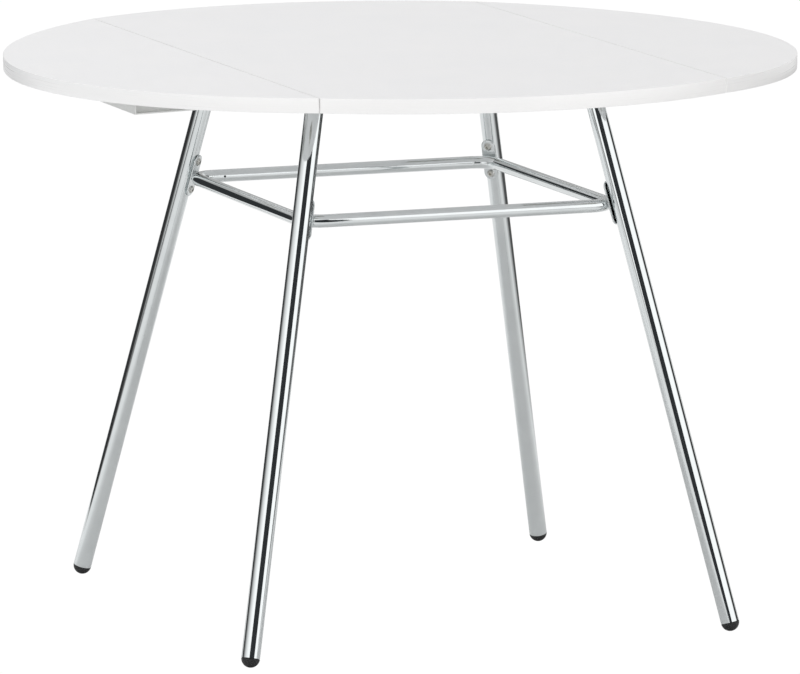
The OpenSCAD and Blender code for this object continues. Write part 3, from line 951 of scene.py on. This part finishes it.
class TABLE_OT_studio(bpy.types.Operator):
    """Pale floor, soft walls of light with dark gaps, and the camera"""

    bl_idname = "table.studio"
    bl_label = "Studio"

    def execute(self, context):
        studio = context.scene.table_studio
        context.scene.view_settings.view_transform = "Standard"
        self.add_camera(context, studio)
        self.add_floor(studio)
        self.add_flags()
        self.add_lamps(context, studio)
        self.add_walls(context, studio)
        return {"FINISHED"}

    def add_camera(self, context, studio):
        camera = bpy.data.objects.new("Camera", bpy.data.cameras.new("Camera"))
        context.scene.collection.objects.link(camera)
        a, e = studio.azimuth, studio.elevation
        back = Vector((math.sin(a) * math.cos(e), -math.cos(a) * math.cos(e), math.sin(e)))
        camera.location = Vector((studio.aim_x, 0, studio.aim_z)) + back * studio.distance
        camera.rotation_euler = (math.pi / 2 - e, 0, a)
        camera.data.lens = studio.lens
        camera.data.sensor_width = 36
        camera.data.clip_end = 100  # In metres, far past the floor
        context.scene.camera = camera

    def add_floor(self, studio):
        """A round sweep of white paper, with painted shade under the table, that fades out to both sides. Seen
        directly it is plain white.
        """
        paper = turned([(0, 0), (0.5, 0), (1.5, 0), (5, 0)], 96)
        paper.normal_update()
        for face in paper.faces:
            if face.normal.z < 0:
                face.normal_flip()
        floor = new_object("floor", paper)
        floor.location.z = -0.2 * MM  # Just clear of the feet
        made, tree = blank("White paper sweep")
        place = add_node(tree, "ShaderNodeTexCoord").outputs["Object"]
        across = add_node(tree, "ShaderNodeSeparateXYZ", {0: place}).outputs[0]
        out = add_node(tree, "ShaderNodeVectorMath", {0: place}, operation="LENGTH").outputs["Value"]
        # Painted shade: the paper's reflectance is lowered under the table, up to 0.4 m from its middle, in
        # place of the table's shadow. It also fades to dark between the two distances on either side
        faded, painted_under_table_shade = 0.1, 0.66
        level = add_node(
            tree, "ShaderNodeMapRange", {0: out, 1: 0.4, 2: 1.0, 3: painted_under_table_shade, 4: studio.floor}
        )
        for clear, dim in ((1.0, 2.2), (-2.2, -4.2)):
            edge = add_node(
                tree, "ShaderNodeMapRange", {0: across, 1: clear, 2: dim, 3: studio.floor, 4: faded}
            )
            level = add_node(
                tree, "ShaderNodeMath", {0: level.outputs[0], 1: edge.outputs[0]}, operation="MINIMUM"
            )
        sheet = add_node(tree, "ShaderNodeBsdfDiffuse", {"Color": level.outputs[0]})
        glow = add_node(
            tree, "ShaderNodeEmission", {"Color": level.outputs[0], "Strength": studio.floor_glow}
        )
        soft = add_node(tree, "ShaderNodeAddShader", {0: sheet.outputs[0], 1: glow.outputs[0]})
        bright = add_node(
            tree, "ShaderNodeEmission", {"Color": (1, 1, 1, 1), "Strength": SEEN_WHITE}
        )
        from_below = add_node(tree, "ShaderNodeBsdfTransparent")
        rays = add_node(tree, "ShaderNodeLightPath").outputs["Is Camera Ray"]
        behind = add_node(tree, "ShaderNodeNewGeometry").outputs["Backfacing"]
        lit = add_node(tree, "ShaderNodeMixShader", {0: rays, 1: soft.outputs[0], 2: bright.outputs[0]})
        whole = add_node(
            tree, "ShaderNodeMixShader", {0: behind, 1: lit.outputs[0], 2: from_below.outputs[0]}
        )
        add_node(tree, "ShaderNodeOutputMaterial", {"Surface": whole.outputs[0]})
        floor.data.materials.append(made)

    def add_flags(self):
        """Black cards in front of and behind the table that only the plating mirrors."""
        made, tree = blank("Black card")
        near_black = (0.035, 0.038, 0.041, 1)
        card = add_node(tree, "ShaderNodeEmission", {"Color": near_black, "Strength": 1.0})
        add_node(tree, "ShaderNodeOutputMaterial", {"Surface": card.outputs[0]})
        # Left edge, right edge at its foot and at its head, foot and head of each card, and its
        # distance behind the table's middle, all in metres
        cards = {
            "flag_front": (-1.5, 0.43, 0.43, 0.02, 1.5, -1.95),
            "flag_back": (-1.5, -0.62, -0.33, 0.05, 1.0, 1.7),
        }
        for name, (left, right_foot, right_head, foot, head, away) in cards.items():
            shape = bmesh.new()
            corners = [(left, foot), (right_foot, foot), (right_head, head), (left, head)]
            shape.faces.new([shape.verts.new((x, away, z)) for x, z in corners])
            flag = new_object(name, shape)
            flag.data.materials.append(made)
            flag.visible_camera = False
            flag.visible_diffuse = False
            flag.visible_shadow = False

    def add_lamps(self, context, studio):
        """Two wide soft lamps on the left that the plating doesn't mirror: one low, one high."""
        # Where each lamp stands and what it is aimed at, in metres, and its power
        lamps = {
            "low_lamp": ((-2.3, 1.5, 0.5), (0, 0, 0.72), studio.low_lamp),
            "high_lamp": ((-2.0, 0.4, 2.3), (-0.1, 0, 0.74), studio.high_lamp),
        }
        for name, (stand, aim, power) in lamps.items():
            lamp = bpy.data.objects.new(name, bpy.data.lights.new(name, "AREA"))
            context.scene.collection.objects.link(lamp)
            lamp.data.shape = "SQUARE"
            lamp.data.size = 1.2
            lamp.data.energy = power
            lamp.data.color = linear("F4F9FF")
            lamp.location = stand
            lamp.rotation_euler = (Vector(aim) - Vector(stand)).to_track_quat("-Z", "Y").to_euler()
            lamp.visible_camera = False
            lamp.visible_glossy = False

    def add_walls(self, context, studio):
        """White all round, but for two dark gaps and a dimmed one that give the chrome its lines."""
        world = bpy.data.worlds.new("Studio walls")
        context.scene.world = world
        world.use_nodes = True
        tree = world.node_tree
        tree.nodes.clear()
        toward = add_node(tree, "ShaderNodeTexCoord").outputs["Generated"]
        parts = add_node(tree, "ShaderNodeSeparateXYZ", {0: toward})
        bearing = add_node(
            tree, "ShaderNodeMath", {0: parts.outputs[0], 1: parts.outputs[1]}, operation="ARCTAN2"
        )
        climb = add_node(tree, "ShaderNodeMath", {0: parts.outputs[2]}, operation="ARCSINE")
        facing = add_node(
            tree, "ShaderNodeMapRange", {0: parts.outputs[1], 1: -0.5, 2: -0.05, 3: studio.front, 4: 0}
        )
        low = add_node(
            tree,
            "ShaderNodeMapRange",
            {0: climb.outputs[0], 1: math.radians(30), 2: math.radians(55), 3: 1, 4: 0},
            interpolation_type="SMOOTHSTEP",
        )
        rays = add_node(tree, "ShaderNodeLightPath")
        mirrored = add_node(
            tree,
            "ShaderNodeMapRange",
            {0: rays.outputs["Is Glossy Ray"], 1: 0, 2: 1, 3: studio.front_seen, 4: 1},
        )
        aimed = add_node(
            tree, "ShaderNodeMath", {0: facing.outputs[0], 1: low.outputs[0]}, operation="MULTIPLY"
        )
        extra = add_node(
            tree, "ShaderNodeMath", {0: aimed.outputs[0], 1: mirrored.outputs[0]}, operation="MULTIPLY"
        )
        level = add_node(
            tree, "ShaderNodeMath", {0: extra.outputs[0], 1: studio.sky}, operation="ADD"
        ).outputs[0]
        # For each gap, bearings from +Y towards +X between which it darkens and clears again,
        # and heights between which it clears upwards, all in degrees, then what light is left
        gaps = [
            ((-112, -66), (-27, -22), (4, 19), studio.shade),
            ((66, 72), (102, 114), (12, 18), studio.shade),
            ((-32, -24), (28, 45), (26, 36), 0.5),
        ]
        for darkens, clears, rises, dimmed in gaps:
            darkens, clears, rises = (
                tuple(math.radians(d) for d in pair) for pair in (darkens, clears, rises)
            )
            opening, closing, under = (
                add_node(
                    tree,
                    "ShaderNodeMapRange",
                    {0: angle.outputs[0], 1: pair[0], 2: pair[1], 3: ends[0], 4: ends[1]},
                    interpolation_type="SMOOTHSTEP",
                )
                for angle, pair, ends in (
                    (bearing, darkens, (0, 1)),
                    (bearing, clears, (1, 0)),
                    (climb, rises, (1, 0)),
                )
            )
            both = add_node(
                tree,
                "ShaderNodeMath",
                {0: opening.outputs[0], 1: closing.outputs[0]},
                operation="MULTIPLY",
            )
            dark = add_node(
                tree, "ShaderNodeMath", {0: both.outputs[0], 1: under.outputs[0]}, operation="MULTIPLY"
            )
            left_over = add_node(
                tree, "ShaderNodeMapRange", {0: dark.outputs[0], 1: 0, 2: 1, 3: 1, 4: dimmed}
            )
            level = add_node(
                tree, "ShaderNodeMath", {0: level, 1: left_over.outputs[0]}, operation="MULTIPLY"
            ).outputs[0]
        walls = add_node(tree, "ShaderNodeBackground", {"Color": (1, 1, 1, 1), "Strength": level})
        plain = add_node(
            tree, "ShaderNodeBackground", {"Color": (1, 1, 1, 1), "Strength": SEEN_WHITE}
        )
        seen = rays.outputs["Is Camera Ray"]
        whole = add_node(
            tree, "ShaderNodeMixShader", {0: seen, 1: walls.outputs[0], 2: plain.outputs[0]}
        )
        add_node(tree, "ShaderNodeOutputWorld", {"Surface": whole.outputs[0]})


OPERATORS = [
    TABLE_OT_boards,
    TABLE_OT_legs,
    TABLE_OT_ring,
    TABLE_OT_hinges,
    TABLE_OT_supports,
    TABLE_OT_wood_screws,
    TABLE_OT_studio,
]


class TABLE_PT_panel(bpy.types.Panel):
    """Lists what builds the table"""

    bl_idname = "TABLE_PT_panel"
    bl_label = "Drop-leaf table"
    bl_space_type = "VIEW_3D"
    bl_region_type = "UI"
    bl_category = "Table"

    def draw(self, context):
        for group in ("table_sizes", "table_colours", "table_studio"):
            settings = getattr(context.scene, group)
            box = self.layout.box()
            for key in settings.__annotations__:
                box.prop(settings, key)
        for operator in OPERATORS:
            self.layout.operator(operator.bl_idname)


GROUPS = {"table_sizes": TableSizes, "table_colours": TableColours, "table_studio": TableStudio}


def register():
    for group, kind in GROUPS.items():
        bpy.utils.register_class(kind)
        setattr(bpy.types.Scene, group, PointerProperty(type=kind))
    for kind in [*OPERATORS, TABLE_PT_panel]:
        bpy.utils.register_class(kind)


def unregister():
    for kind in reversed([*OPERATORS, TABLE_PT_panel]):
        bpy.utils.unregister_class(kind)
    for group, kind in GROUPS.items():
        delattr(bpy.types.Scene, group)
        bpy.utils.unregister_class(kind)


def main():
    register()
    for operator in OPERATORS:
        area, name = operator.bl_idname.split(".")
        getattr(getattr(bpy.ops, area), name)()


if __name__ == "__main__":
    main()
